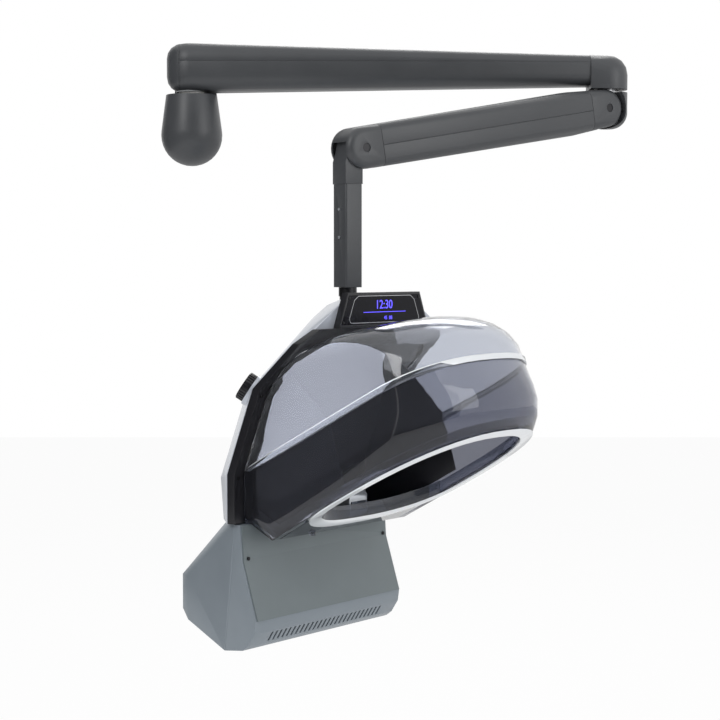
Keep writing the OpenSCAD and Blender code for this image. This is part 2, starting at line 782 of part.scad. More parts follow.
// The arch where the hood meets the bezel, drawn in by d: side, corner and top from left to right
ARCH_SIDE = 6;
ARCH_CORNER = 4;
ARCH_TOP = 6;
ARCH_MID = ARCH_SIDE + ARCH_CORNER + ARCH_TOP;
arch_low_z = seam_z - seam_slope * bezel_y + 10;
arch_bend_z = -120;
arch_corner = 32;
function arch_xz(i, d) = let (
        k = min(i, 2 * ARCH_MID - i), side = i < ARCH_MID ? -1 : 1, flat = arch_hw - arch_corner,
        turn = 90 * (k - ARCH_SIDE) / ARCH_CORNER)
    k <= ARCH_SIDE ? [side * (arch_hw - d), arch_low_z + (arch_bend_z - arch_low_z) * k / ARCH_SIDE]
    : k <= ARCH_SIDE + ARCH_CORNER ? [side * (flat + (arch_corner - d) * cos(turn)),
        arch_bend_z + (arch_top_z - arch_bend_z - d) * sin(turn)]
    : [side * flat * (ARCH_MID - k) / ARCH_TOP, arch_top_z - d];

// The bezel's opening, drawn in by d from the glass
module arch_opening(d, z0) {
    polygon(concat([[-arch_hw + d, z0]], [for (i = [0:2 * ARCH_MID]) arch_xz(i, d)], [[arch_hw - d, z0]]));
}

// A solid whose side profile runs along X
module folded(hw) {
    rotate([90, 0, 90]) linear_extrude(2 * hw, center = true) children();
}

// A solid whose front outline runs along Y
module upright() {
    translate([0, 250, 0]) rotate([90, 0, 0]) linear_extrude(500) children();
}

module bezel() {
    color("black") at_head() difference() {
        intersection() {
            folded(bezel_hw + 1) lean_band(0, bezel_t, bezel_low_z, bezel_top_z);
            upright() bezel_outline(bezel_low_z);
        }
        upright() arch_opening(lap, bezel_low_z - 1);
        at_bezel_screw() translate([0, 0, -8]) cylinder(d = screw_d, h = 10);
    }
}

screw_d = 3;
BEZEL_SCREWS = [[bezel_hw - 9, -295], [bezel_hw - 9, -165]];
PANEL_SCREW = [panel_hw - 9, -420];
DISPLAY_SCREWS = [[display_hw - 3, display_top_z - 8], [display_hw + 12, display_top_z - display_h + 8]];

// The bezel's screws stand square to its face
bezel_lean = atan2(bezel_y - bend_high_y, bend_high_z - bend_low_z);
module at_bezel_screw() {
    for (p = BEZEL_SCREWS, sx = [-1, 1]) translate([sx * p[0], bezel_depth(p[1]), p[1]])
        rotate([90 + (p[1] > bend_low_z ? bezel_lean : 0), 0, 0]) children();
}

// Every small pan-head screw that shows on the head
module head_screws() {
    color("black") at_head() {
        at_bezel_screw() screw(6, 1, screw_d, 5);
        for (sx = [-1, 1]) {
            for (p = DISPLAY_SCREWS) translate([sx * p[0], display_y, p[1]]) rotate([90, 0, 0])
                screw(4.5, 1, screw_d - 0.5, 6);
            translate([sx * PANEL_SCREW[0], panel_face(PANEL_SCREW[1]) - panel_t - 0.25, PANEL_SCREW[1]])
                rotate([90, 0, 0]) screw(6, 1.4, screw_d, panel_t + 3);
        }
    }
}

// The rear shell's back, as [half width, depth, height] from the top down
rear_round = 6;
REAR_ROWS = [[16, 8, -18], [30, 24, -27], [42, 43, -47], [58, 59, -82], [78, 76, -110],
    [104, rear_y - 35, -139], [128, rear_y - 19, -180], [158, rear_y, -294]];
// The rear shell's front edge against the bezel's back, as [half width, height]
FRONT_ROWS = [[bezel_hw, bend_low_z], [bezel_hw, bend_high_z], [bezel_hw - 13, bezel_top_z - 22],
    [bezel_hw - 34, bezel_top_z]];

// Outer form of the upper rear shell, drawn in by t
module rear_solid(t) {
    skirt = t > 0 ? 1 : 0;
    hull() {
        for (v = REAR_ROWS, sx = [-1, 1])
            translate([sx * (v[0] - rear_round), v[1] - rear_round, v[2] - rear_round])
                sphere(r = rear_round - t, $fn = 16);
        for (sx = [-1, 1]) translate([sx * (152 - rear_round), rear_y - rear_round, bezel_low_z - skirt])
            cylinder(r = rear_round - t, h = 4, $fn = 16);
        translate([-bezel_hw + t, bezel_y + bezel_t - 5, bezel_low_z - skirt]) cube([2 * (bezel_hw - t), 6, 1]);
        for (v = FRONT_ROWS) translate([-v[0] + t, bezel_depth(v[1]) + bezel_t - 5, v[1] - t])
            cube([2 * (v[0] - t), 6, 0.1]);
        translate([-80 + t, dome_front_y + t, -17 - t]) cube([160 - 2 * t, 1, 1]);
        translate([-104 + t, dome_front_y + t, bezel_top_z]) cube([208 - 2 * t, 1, 1]);
    }
}

// Everything in front of the bezel's back
module front_of_bezel_back() {
    folded(bezel_hw + 2) lean_band(-300, 300 + bezel_t, bezel_low_z - 5, bezel_top_z);
}

// The axis of the filler cap on the rear shell's left shoulder; its seat is the plane z = 0
filler_at = [-152.2, 69, -157.4];
module at_filler() { translate(filler_at) rotate([0, 56.8, 126.5]) children(); }

seat_r = filler_d / 2 + 3;

module rear_shell() {
    color("silver") at_head() difference() {
        union() {
            difference() {
                rear_solid(0);
                rear_solid(shell_t);
            }
            at_filler() translate([0, 0, -14]) cylinder(r = seat_r, h = 14);
        }
        front_of_bezel_back();
        translate([0, 0, -60]) cylinder(d = collar_d - 3 + 2 * collar_gap, h = 80);
        at_filler() {
            cylinder(r = seat_r, h = 30);
            translate([0, 0, -20]) cylinder(d = neck_d + 1, h = 30);
            translate([0, 0, -30]) cylinder(r = seat_r - shell_t, h = 26);
        }
    }
}

// The welded frame that the swivel carries: top plate, gussets, spine and the boiler's shelf
module head_frame() {
    top = frame_top_z;
    back = frame_y + frame_t;
    color("gray") at_head() difference() {
        union() {
            translate([-frame_hw, frame_y, shelf_z]) cube([2 * frame_hw, frame_t, -160 - shelf_z]);
            translate([-24, -20, top - frame_t]) cube([48, 40, frame_t]);
            for (x = [-22.5, 22.5]) translate([x, 0, 0]) folded(frame_t / 2)
                polygon([[-20, top], [20, top], [back, -170], [back, -250], [frame_y, -250], [30, -140],
                    [-20, top - 8]]);
            translate([-bezel_hw + 8, back, bezel_low_z + 5]) cube([2 * bezel_hw - 16, frame_t, 10]);
            translate([-panel_hw - 3 + shell_t, back, -525]) cube([2 * (panel_hw + 3 - shell_t), frame_t, 14]);
            translate([-124, back, shelf_z - frame_t]) cube([124 + frame_hw, 62, frame_t]);
            translate([-frame_hw, frame_y, shelf_z - frame_t]) cube([2 * frame_hw, frame_t + 1, frame_t + 1]);
        }
        translate([0, 0, top - 10]) cylinder(d = swivel_d, h = 20);
        translate([0, frame_y - 1, pipe_z]) rotate([-90, 0, 0]) cylinder(d = steam_pipe_d + 1, h = 10);
    }
}

// The black liner that closes the back of the hood and reaches forward along its sides
liner_x = seam_hw - gutter_w - 2;
liner_t = 2.5;
module inner_liner() {
    lip_top = gutter_h + 1;
    color("black") at_head() difference() {
        union() {
            intersection() {
                folded(bezel_hw) lean_band(2, liner_t, bezel_low_z + 3, arch_top_z);
                upright() arch_opening(lap + 0.3, bezel_low_z - 5);
            }
            for (sx = [-1, 1]) translate([sx * liner_x, 0, 0]) folded(1)
                polygon([[bezel_y + 3, floor_z + 3], [bezel_y + 3, bend_low_z], [bend_high_y + 3, bend_high_z],
                    [bezel_depth(-130) + 3, -130], [-48, -166], [-84, -202], [-100, -254],
                    [-112, rim_height(-112) + lip_top], [-58, rim_height(-58) + lip_top],
                    [-58, rim_height(-58) + 2], [floor_bend_y, rim_height(floor_bend_y) + 2],
                    [floor_y, floor_z + 2], [bezel_y, floor_z + 2]]);
        }
        translate([0, 0, pipe_z]) rotate([-90, 0, 0]) cylinder(d = steam_pipe_d + 1, h = 200);
    }
}

// Plan outlines of the hood: gently bowed sides and a superellipse nose
glass_back = bezel_y - 0.5;
NOSE_STEPS = 20;
NOSE_POWER = 2.5;
SIDE_Y = [glass_back, floor_y, (floor_y + floor_bend_y) / 2, floor_bend_y, -25, -65];
PATH_LEN = NOSE_STEPS + 1 + 2 * len(SIDE_Y);
function nose_point(a, front, yc, angle) = let (c = cos(angle), s = sin(angle))
    [-a * sign(c) * pow(abs(c), 2 / NOSE_POWER), yc - (front + yc) * pow(abs(s), 2 / NOSE_POWER)];
function side_x(a, a_rear, yc, y) = a - (a - a_rear) * pow((y - yc) / (glass_back - yc), 2);
function plan_path(a, a_rear, front, yc) = concat(
    [for (y = SIDE_Y) [-side_x(a, a_rear, yc, y), y]],
    [for (i = [0:NOSE_STEPS]) nose_point(a, front, yc, 180 * i / NOSE_STEPS)],
    [for (k = [len(SIDE_Y) - 1:-1:0]) [side_x(a, a_rear, yc, SIDE_Y[k]), SIDE_Y[k]]]);

function seam_height(y) = seam_z - seam_slope * y;
function rim_height(y) = max(rim_z - rim_slope * y, floor_z - floor_rise * max(0, floor_y - y));

// One row of the visor: f runs from seam to rim, inset draws the row inward and dz lifts it
function visor_row(f, inset, dz) = let (
        swell = visor_bulge * sin(180 * pow(max(f, 0), 1.3)),
        a = seam_hw + (rim_hw - seam_hw) * f + swell * 0.43 - inset,
        front = seam_front + (rim_front - seam_front) * f + swell - inset,
        yc = hood_yc + (rim_yc - hood_yc) * f)
    [for (p = plan_path(a, seam_hw + 0.5 - inset, front, yc))
        [p[0], p[1], seam_height(p[1]) * (1 - f) + rim_height(p[1]) * f + dz]];

// Two triangles for each patch between neighbouring rows of a closed section
function band_sides(rows, cols) = [for (r = [0:rows - 1], c = [0:cols - 2])
    let (a = r * cols + c, b = ((r + 1) % rows) * cols + c) each [[a, b, b + 1], [a, b + 1, a + 1]]];

// Faces of a band with flat ends
function band_faces(rows, cols) = concat(band_sides(rows, cols),
    [[for (r = [rows - 1:-1:0]) r * cols]],
    [[for (r = [0:rows - 1]) r * cols + cols - 1]]);

// Faces of a curved sheet: the ends are strips between its outer and inner rows
function sheet_faces(rows, cols) = concat(band_sides(rows, cols),
    [for (r = [0:rows / 2 - 2]) let (a = (rows - 1 - r) * cols, b = (rows - 2 - r) * cols, c = (r + 1) * cols,
        d = r * cols) each [[a, b, c], [a, c, d]]],
    [for (r = [0:rows / 2 - 2]) let (e = cols - 1, a = (rows - 1 - r) * cols + e, b = (rows - 2 - r) * cols + e,
        c = (r + 1) * cols + e, d = r * cols + e) each [[d, c, b], [d, b, a]]]);

// The rows of the visor's section: down the outside, round the gutter, up the inside
rim_drop = 1.5;
VISOR_ROWS = [[0.02, 0, 0], [0.2, 0, 0], [0.4, 0, 0], [0.6, 0, 0], [0.8, 0.5, 0], [0.92, 2.5, 0], [0.98, 3.5, 0],
    [1, 5, -rim_drop], [1, gutter_w - 3, -rim_drop], [1, gutter_w - 1, 0], [1, gutter_w, 3],
    [1, gutter_w, gutter_h], [1, gutter_w - 1.8, gutter_h], [1, gutter_w - 2.2, 5], [1, gutter_w - 5, 2.2],
    [1, 10, 2], [0.95, 6.5, 1], [0.85, glass_t + 1, 0], [0.6, glass_t, 0], [0.4, glass_t, 0],
    [0.2, glass_t, 0], [0.02, glass_t, 0]];

module visor() {
    color([0.2, 0.22, 0.26, 0.5]) at_head() polyhedron(
        points = [for (r = VISOR_ROWS) each visor_row(r[0], r[1], r[2])],
        faces = sheet_faces(len(VISOR_ROWS), PATH_LEN), convexity = 10);
}

// The clear strip over the seam between hood and visor, as [place between seam and rim, inset]
TRIM_ROWS = [[-0.045, -1.3], [-0.03, -2.6], [0.04, -2.4], [0.05, -0.5], [0, -0.5]];

module seam_trim() {
    color([0.6, 0.65, 0.7, 0.6]) at_head() polyhedron(
        points = [for (r = TRIM_ROWS) let (row = visor_row(r[0], r[1], 0)) for (i = [1:PATH_LEN - 2]) row[i]],
        faces = band_faces(len(TRIM_ROWS), PATH_LEN - 2), convexity = 6);
}

// A point of the glass, kept in front of the bezel's face
function off_bezel(p) = [p[0], min(p[1], bezel_depth(p[2]) - 0.5), p[2]];

// A point of the hood's outside: f runs from the arch to the seam
SEAM_EDGE = visor_row(-0.01, 0, 0);
function hood_outer(i, f) = let (
        k = min(i, 2 * ARCH_MID - i), lift = pow(sin(90 * k / ARCH_MID), 1.2),
        p = arch_xz(i, 0), b = [p[0], bezel_depth(p[1]) - 0.5, p[1]], e = SEAM_EDGE[i],
        c1 = [b[0] * (1 - 0.05 * lift), b[1] + 0.32 * (e[1] - b[1]), b[2] + 50 * lift],
        c2 = [e[0] * (1 - 0.04 * lift), e[1] - 0.09 * (e[1] - b[1]), e[2] + 89 * lift],
        m = 1 - f)
    off_bezel(b * m * m * m + c1 * 3 * f * m * m + c2 * 3 * f * f * m + e * f * f * f);

// The same point inside, a glass thickness toward the hood's heart
HOOD_HEART = [0, -120, -200];
function hood_inner(i, f) = let (
        p = hood_outer(i, f),
        u = hood_outer(min(i + 1, 2 * ARCH_MID), f) - hood_outer(max(i - 1, 0), f),
        v = hood_outer(i, min(f + 0.05, 1)) - hood_outer(i, max(f - 0.05, 0)),
        n = i == 0 || i == 2 * ARCH_MID ? [1, 0, 0] : cross(u, v) / norm(cross(u, v)))
    off_bezel(p + n * glass_t * ((HOOD_HEART - p) * n < 0 ? -1 : 1));

HOOD_ROWS = 10;

module upper_hood() {
    color([0.5, 0.53, 0.58, 0.4]) at_head() polyhedron(
        points = concat(
            [for (r = [HOOD_ROWS:-1:0], i = [0:2 * ARCH_MID]) hood_outer(i, r / HOOD_ROWS)],
            [for (r = [0:HOOD_ROWS], i = [0:2 * ARCH_MID]) hood_inner(i, r / HOOD_ROWS)]),
        faces = sheet_faces(2 * (HOOD_ROWS + 1), PATH_LEN), convexity = 10);
}

// The closed oval of the head opening
OVAL_STEPS = 48;
function oval_point(inset, angle) = let (
        c = cos(angle), s = sin(angle),
        a = rim_hw - inset,
        b = s >= 0 ? rim_front + rim_yc - inset : -rim_yc - oval_back - inset)
    [-a * sign(c) * pow(abs(c), 2 / NOSE_POWER), rim_yc - b * sign(s) * pow(abs(s), 2 / NOSE_POWER)];
function oval(inset) = [for (i = [0:OVAL_STEPS - 1]) oval_point(inset, 360 * i / OVAL_STEPS)];

// Side profile between two heights above the rim, from depth y0 back to the bezel
module rim_profile(y0, low, high) {
    depths = [y0, floor_bend_y, floor_y, glass_back];
    polygon(concat([for (y = depths) [y, rim_height(y) + low]],
        [for (i = [3:-1:0]) [depths[i], rim_height(depths[i]) + high]]));
}

// The folded floor of the hood behind the opening, with a raised lip along its front edge
tray_t = 2.5;
module drip_tray() {
    inset = gutter_w + 0.4;
    color([0.25, 0.27, 0.32, 0.6]) at_head() {
        intersection() {
            folded(200) rim_profile(-75, -rim_drop, tray_t - rim_drop);
            translate([0, 0, -500]) linear_extrude(500) difference() {
                polygon(plan_path(rim_hw - inset, seam_hw + 0.5 - inset, rim_front - inset, rim_yc));
                polygon(oval(gutter_w));
            }
        }
        intersection() {
            folded(liner_x + 8) rim_profile(-75, -rim_drop, gutter_h);
            translate([0, 0, -500]) linear_extrude(500) difference() {
                polygon(oval(gutter_w - 2.5));
                polygon(oval(gutter_w));
            }
        }
        translate([-76, 8, rim_height(8) - rim_drop - 5]) cylinder(d = 10, h = 6);
    }
}

// The pale strip that lights the edge of the opening
function ring_row(inset, drop) = [for (p = oval(inset)) [p[0], p[1], rim_z - rim_slope * p[1] - drop]];

function ring_faces(rows, cols) = [for (r = [0:rows - 1], c = [0:cols - 1])
    let (n = (r + 1) % rows, m = (c + 1) % cols)
        each [[r * cols + c, n * cols + c, n * cols + m], [r * cols + c, n * cols + m, r * cols + m]]];

module rim_light() {
    rows = [[2.5, rim_drop], [3.5, rim_drop + 2], [gutter_w - 1.5, rim_drop + 2], [gutter_w - 0.5, rim_drop]];
    color("white") at_head() polyhedron(
        points = [for (r = rows) each ring_row(r[0], r[1])],
        faces = ring_faces(len(rows), OVAL_STEPS), convexity = 6);
}

module display_outline(d) {
    polygon([[-display_hw - display_lean + d, display_top_z - display_h + d],
        [display_hw + display_lean - d, display_top_z - display_h + d],
        [display_hw - d * 0.7, display_top_z - d], [-display_hw + d * 0.7, display_top_z - d]]);
}

// A slab of the display's outline, from depth y to y + h
module display_slab(d, y, h) {
    translate([0, y + h, 0]) rotate([90, 0, 0]) linear_extrude(h) display_outline(d);
}

module display_housing() {
    color("black") at_head() difference() {
        display_slab(0, display_y, display_t);
        display_slab(4, display_y - 1, 3);
        display_slab(7, display_y, display_t - 2);
        for (p = DISPLAY_SCREWS, sx = [-1, 1]) translate([sx * p[0], display_y - 1, p[1]])
            rotate([-90, 0, 0]) cylinder(d = screw_d - 0.5, h = 9);
    }
}

module display_window() {
    color("midnightblue") at_head() difference() {
        display_slab(4.3, display_y, 2);
        for (p = DISPLAY_SCREWS, sx = [-1, 1]) translate([sx * p[0], display_y - 1, p[1]])
            rotate([-90, 0, 0]) cylinder(d = screw_d - 0.5, h = 9);
    }
}

module display_board() {
    color("darkgreen") at_head() {
        display_slab(10, display_y + 5, 1.6);
        for (sx = [-1, 1]) translate([sx * 60, display_y + 6.6, display_top_z - display_h / 2]) rotate([-90, 0, 0])
            cylinder(d = 5, h = display_t - 8.6);
    }
}

// Outer form of the lower box's rear shell, drawn in by t
module lower_rear_solid(t) {
    hw = panel_hw + 3 - t;
    open = t > 0 ? 3 : 0;
    hull() {
        translate([-hw, bezel_y + 6 - open, panel_top_z - t]) cube([2 * hw, 2, 1]);
        translate([-hw, bezel_y + 12 - open, panel_top_z - 70]) cube([2 * hw, 2, 1]);
        translate([-hw, bezel_y + 28 - open, box_low_z + t]) cube([2 * hw, 2, 1]);
        translate([-box_rear_hw + 16 + t, rear_y - t - 2, panel_top_z - t]) cube([2 * (box_rear_hw - 16 - t), 2, 1]);
        translate([-box_rear_hw + t, box_rear_y - t - 2, -520 + t]) cube([2 * (box_rear_hw - t), 2, 56 - 2 * t]);
        translate([-box_rear_hw - 8 + t, box_rear_y - 50, -535 + t]) cube([2 * (box_rear_hw + 8 - t), 30, 70 - 2 * t]);
    }
}

// The plane where the box's two shells meet, and everything in front of it
module box_front_side(gap) {
    folded(300) polygon([[0, box_low_z - 20], [0, panel_top_z + 20], [bezel_y + 6 + gap, panel_top_z + 20],
        [bezel_y + 6 + gap, panel_top_z], [bezel_y + 12 + gap, panel_top_z - 70],
        [bezel_y + 28 + gap, box_low_z], [bezel_y + 28 + gap, box_low_z - 20]]);
}

module lower_rear_shell() {
    color("slategray") at_head() difference() {
        lower_rear_solid(0);
        lower_rear_solid(shell_t);
        translate([-frame_hw - 1, frame_y - 1, panel_top_z - 20])
            cube([2 * frame_hw + 2, rear_y - shell_t - frame_y + 1, 40]);
        box_front_side(0.3);
    }
}

// The front shell's face: its depth at a height
function panel_face(z) = z > panel_bend_z
    ? bezel_y - 5 - 4 * (panel_top_z - z) / (panel_top_z - panel_bend_z)
    : bezel_y - 9 - 29 * (panel_bend_z - z) / (panel_bend_z - panel_low_z);

// Side profile of the lower box's front shell, drawn in by t
module front_profile(t) {
    polygon([[panel_face(panel_top_z) + t, panel_top_z - t], [panel_face(panel_bend_z) + t, panel_bend_z],
        [panel_face(panel_low_z) + t, panel_low_z], [bezel_y - 35 + t, -534], [bezel_y - 21 + t, -555 + t * 0.5],
        [bezel_y - 10 + t, box_low_z + 5 + t], [bezel_y + 28, box_low_z + t],
        [bezel_y + 12, panel_top_z - 70], [bezel_y + 6, panel_top_z - t]]);
}

module lower_front_shell() {
    hw = panel_hw + 3;
    color("slategray") at_head() difference() {
        folded(hw) front_profile(0);
        folded(hw - shell_t) front_profile(shell_t);
        folded(hw - shell_t) polygon([[bezel_y + 5, panel_top_z - shell_t], [bezel_y + 11, panel_top_z - 70],
            [bezel_y + 27, box_low_z + shell_t], [bezel_y + 60, box_low_z + shell_t],
            [bezel_y + 60, panel_top_z - shell_t]]);
        folded(panel_hw - 14) polygon([[0, panel_top_z - 14], [bezel_y, panel_top_z - 14],
            [bezel_y - 3, panel_bend_z], [bezel_y - 30, panel_low_z + 12], [0, panel_low_z + 12]]);
        for (i = [0:vent_count - 1])
            translate([(i - (vent_count - 1) / 2) * vent_pitch, bezel_y - 28, -545]) rotate([33.7, 0, 0])
                cube([vent_w, 26, 19], center = true);
        panel_screw_holes();
    }
}

module panel_screw_holes() {
    for (sx = [-1, 1]) translate([sx * PANEL_SCREW[0], 20, PANEL_SCREW[1]]) rotate([-90, 0, 0])
        cylinder(d = screw_d, h = 60);
}

// The bent front panel, seated on the front shell's face
module front_panel() {
    heights = [panel_top_z - 1, panel_bend_z, panel_low_z];
    color("gray") at_head() difference() {
        folded(panel_hw) polygon(concat([for (z = heights) [panel_face(z) - panel_t, z]],
            [for (i = [2:-1:0]) [panel_face(heights[i]), heights[i]]]));
        panel_screw_holes();
    }
}

// The tank behind the bezel's left side, with its neck up to the filler cap
tank_right_x = -70;
tank_left_x = -156.5;
tank_t = 2.5;
module tank_solid(t) {
    translate([(tank_left_x + tank_right_x) / 2, 0, 0]) folded((tank_right_x - tank_left_x) / 2 - t)
        lean_band(7 + t, 28 - 2 * t, -351 + t, -165 - t);
}

module water_tank() {
    color("lightsteelblue") at_head() difference() {
        union() {
            tank_solid(0);
            at_filler() translate([0, 0, -25]) cylinder(d = neck_d, h = 25 + 8);
        }
        tank_solid(tank_t);
        at_filler() translate([0, 0, -28]) cylinder(d = neck_d - 6, h = 60);
    }
}

module filler_cap() {
    color("black") at_head() at_filler() translate([0, 0, face_gap]) difference() {
        union() {
            cylinder(d = filler_d - 3, h = filler_t);
            for (i = [0:filler_ribs - 1]) rotate(360 * i / filler_ribs)
                translate([filler_d / 2 - 3, -1.2, 1]) cube([3, 2.4, filler_t - 2]);
        }
        translate([0, 0, -1]) cylinder(d = neck_d + 2 * run_gap, h = 11);
    }
}

boiler_at = [0, frame_y + frame_t + boiler_d / 2 + 4.5, shelf_z];
pipe_z = -347;
pipe_y = rear_y - shell_t - steam_pipe_d / 2 - 2;

module boiler() {
    color("silver") at_head() translate(boiler_at) difference() {
        cylinder(d = boiler_d, h = boiler_h);
        translate([0, 0, 3]) cylinder(d = boiler_d - 6, h = boiler_h - 6);
        translate([0, pipe_y - boiler_at[1], boiler_h - 5]) cylinder(d = steam_pipe_d, h = 10);
    }
}

module heater() {
    color("orange") at_head() translate(boiler_at) translate([0, 0, 3]) {
        cylinder(d = 20, h = 4);
        for (sx = [-1, 1]) translate([sx * 5, 0, 4]) cylinder(d = 5, h = boiler_h / 2);
        translate([-7.5, -2.5, 2 + boiler_h / 2]) cube([15, 5, 5]);
    }
}

// The steam pipe: up from the boiler, then forward through the frame and liner
module steam_pipe() {
    low = boiler_at[2] + boiler_h - 3;
    color("lightgray") at_head() difference() {
        union() {
            translate([0, pipe_y, low]) cylinder(d = steam_pipe_d, h = pipe_z - low);
            translate([0, pipe_y, pipe_z]) sphere(d = steam_pipe_d);
            translate([0, outlet_back - 3, pipe_z]) rotate([-90, 0, 0])
                cylinder(d = steam_pipe_d, h = pipe_y - outlet_back + 3);
        }
        translate([0, pipe_y, low - 1]) cylinder(d = steam_pipe_d - 4, h = pipe_z - low + 1);
        translate([0, outlet_back - 4, pipe_z]) rotate([-90, 0, 0])
            cylinder(d = steam_pipe_d - 4, h = pipe_y - outlet_back + 4);
    }
}

outlet_front = -22;
outlet_back = 6;
outlet_top_z = -322;
outlet_hw = 21.5;

// The steam outlet that stands on the tray, with its nozzle slot toward the opening
module steam_outlet() {
    seat = tray_t - rim_drop;
    color("silver") at_head() difference() {
        folded(outlet_hw) polygon([[outlet_front, rim_height(outlet_front) + seat],
            [outlet_back, rim_height(outlet_back) + seat], [outlet_back, outlet_top_z],
            [outlet_front + 8, outlet_top_z], [outlet_front, outlet_top_z - 8]]);
        translate([-outlet_hw + 3, outlet_front - 4, pipe_z - 7]) cube([2 * outlet_hw - 6, 22, 14]);
        translate([0, outlet_back - 3, pipe_z]) rotate([-90, 0, 0]) cylinder(d = steam_pipe_d, h = 10);
        translate([0, outlet_front + 10, pipe_z]) rotate([-90, 0, 0]) cylinder(d = steam_pipe_d - 4, h = 30);
    }
}

fan_at = [-84, 128, shelf_z];
motor_h = 24;
shaft_d = 6;

module fan_motor() {
    color("dimgray") at_head() translate(fan_at) {
        cylinder(d = 42, h = motor_h);
        cylinder(d = shaft_d, h = motor_h + 24);
    }
}

module fan_rotor() {
    color("black") at_head() translate(fan_at) translate([0, 0, motor_h + 4]) {
        tube(26, shaft_d + 2 * run_gap, 16);
        for (i = [0:6]) rotate(360 * i / 7) translate([12, -1, 2]) rotate([28, 0, 0])
            cube([fan_d / 2 - 12, 2, 12]);
    }
}

board_t = 1.6;
standoff = 6;

module control_board() {
    color("darkgreen") at_head() {
        translate([-50, frame_y - standoff - board_t, -505]) cube([100, board_t, 100]);
        for (sx = [-1, 1], z = [-497, -413]) translate([sx * 42, frame_y - standoff, z]) rotate([-90, 0, 0])
            cylinder(d = 6, h = standoff);
        translate([-38, frame_y - standoff - board_t - 14, -498]) cube([28, 14, 26]);
        translate([4, frame_y - standoff - board_t - 9, -494]) cube([20, 9, 16]);
    }
}

wall_plate();
pivot_bracket();
bracket_cover();
cover_screws();
wall_spindle();
wall_washer();
wall_bushes();
upper_beam();
upper_cover_top();
upper_cover_bottom();
wall_end_cap();
elbow_cap();
elbow_bushes();
knuckle();
elbow_spindle();
elbow_washer();
lower_beam();
lower_cover_top();
lower_cover_bottom();
lower_elbow_cap();
lower_post_cap();
arm_pins();
balance_spring();
spring_rod();
tension_nuts();
tie_rod();
knuckle_tie_pin();
post_head();
post_sleeve();
post_screws();
post_tie_pin();
swivel_bushes();
swivel_spindle();
swivel_nut();
head_frame();
rear_shell();
bezel();
inner_liner();
upper_hood();
seam_trim();
visor();
drip_tray();
rim_light();
display_housing();
display_window();
display_board();
lower_rear_shell();
lower_front_shell();
front_panel();
head_screws();
water_tank();
filler_cap();
boiler();
heater();
steam_pipe();
steam_outlet();
fan_motor();
fan_rotor();
control_board();
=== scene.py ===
# Wall-arm hair steamer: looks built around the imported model
import json
import math

import bpy
from mathutils import Matrix, Vector


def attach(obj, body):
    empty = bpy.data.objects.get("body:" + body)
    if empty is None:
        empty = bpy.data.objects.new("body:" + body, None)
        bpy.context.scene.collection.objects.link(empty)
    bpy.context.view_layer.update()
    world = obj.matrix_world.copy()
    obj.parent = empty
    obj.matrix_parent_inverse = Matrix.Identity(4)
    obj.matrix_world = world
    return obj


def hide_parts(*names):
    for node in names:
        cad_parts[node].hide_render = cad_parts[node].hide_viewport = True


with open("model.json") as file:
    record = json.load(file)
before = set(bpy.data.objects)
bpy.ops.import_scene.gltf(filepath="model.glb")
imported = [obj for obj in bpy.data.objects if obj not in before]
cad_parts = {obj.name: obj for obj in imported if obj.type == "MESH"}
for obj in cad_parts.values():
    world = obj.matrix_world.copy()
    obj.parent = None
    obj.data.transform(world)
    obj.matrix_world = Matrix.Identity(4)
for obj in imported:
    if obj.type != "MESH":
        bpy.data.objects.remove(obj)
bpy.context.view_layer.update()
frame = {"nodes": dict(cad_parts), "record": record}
record = frame["record"]
bodyOf = {node: body for body, nodes in record["behaviour"]["bodies"].items() for node in nodes}
slotOf = {part["node"]: part["material_slot"] for part in record["subparts"]}
print("frame loaded:", len(frame["nodes"]), "nodes")

millimetre = 0.001
# the head turns about the post, so what is new on it is made square to the world and then placed
headAxis = {"at": (0.275542, -0.375426, -0.326847), "turn": 50}
headPlace = Matrix.Translation(headAxis["at"]) @ Matrix.Rotation(math.radians(headAxis["turn"]), 4, "Z")

# the studio: lengths in metres, angles in degrees, lamps as name, place, width and power in watts
stage = {
    "camera": {"at": (0.295, -3.080, -0.290), "tilt": 90 - 3.232, "lens": 85, "sensor": 36},
    "worldLevel": 0.6,
    "lampsAimAt": (0.3, -0.3, -0.4),
    "lamps": [
        ("keyLamp", (-1.7, -2.7, 1.5), 1.5, 34),
        ("fillLamp", (2.5, -2.2, 0.5), 1.8, 20),
        ("backLamp", (0.6, 1.9, 1.5), 1.6, 22),
    ],
    # a large softbox on the left, seen only as a reflection in the clear hood, the seam strip and the rim strip
    "softbox": {"at": (-1.75, -0.75, 0.45), "turn": -90, "wide": 2.3, "high": 2.5, "power": 165, "tint": "DDE3F6"},
    # felt cards on the left and behind the camera give the smoked pieces something dark to reflect
    "felt": {"colour": "0C0C0E", "rough": 0.9},
    "cards": [
        ("cardLeft", (-1.95, -0.9, 0.35), 90, 5.2, 3.4),
        ("cardBack", (0.9, -4.3, 0.3), 0, 6.5, 5.0),
    ],
    # the camera share is how much of the floor the camera sees as plain white, and the rest keeps the shadow
    "floor": {"at": (0.3, 0, -1.32), "size": 14, "paper": (0.93, 0.93, 0.93, 1), "cameraShare": 0.92},
    "white": (1, 1, 1, 1),
    "whiteLevel": 1.0,
}


def linearColour(code):  # colours are written as sRGB hex, and the shaders take linear values
    parts = [int(code[i:i + 2], 16) / 255 for i in (0, 2, 4)]
    return [p / 12.92 if p <= 0.04045 else ((p + 0.055) / 1.055) ** 2.4 for p in parts] + [1.0]


def addNode(tree, kind, settings=None, values=None, links=None):
    node = tree.nodes.new(kind)
    for name, value in (settings or {}).items():
        setattr(node, name, value)
    for name, value in (values or {}).items():
        node.inputs[name].default_value = value
    for name, source in (links or {}).items():
        tree.links.new(source, node.inputs[name])
    return node


def startFinish(name):
    material = bpy.data.materials.new(name)
    material.use_nodes = True
    return material, material.node_tree.nodes["Principled BSDF"]


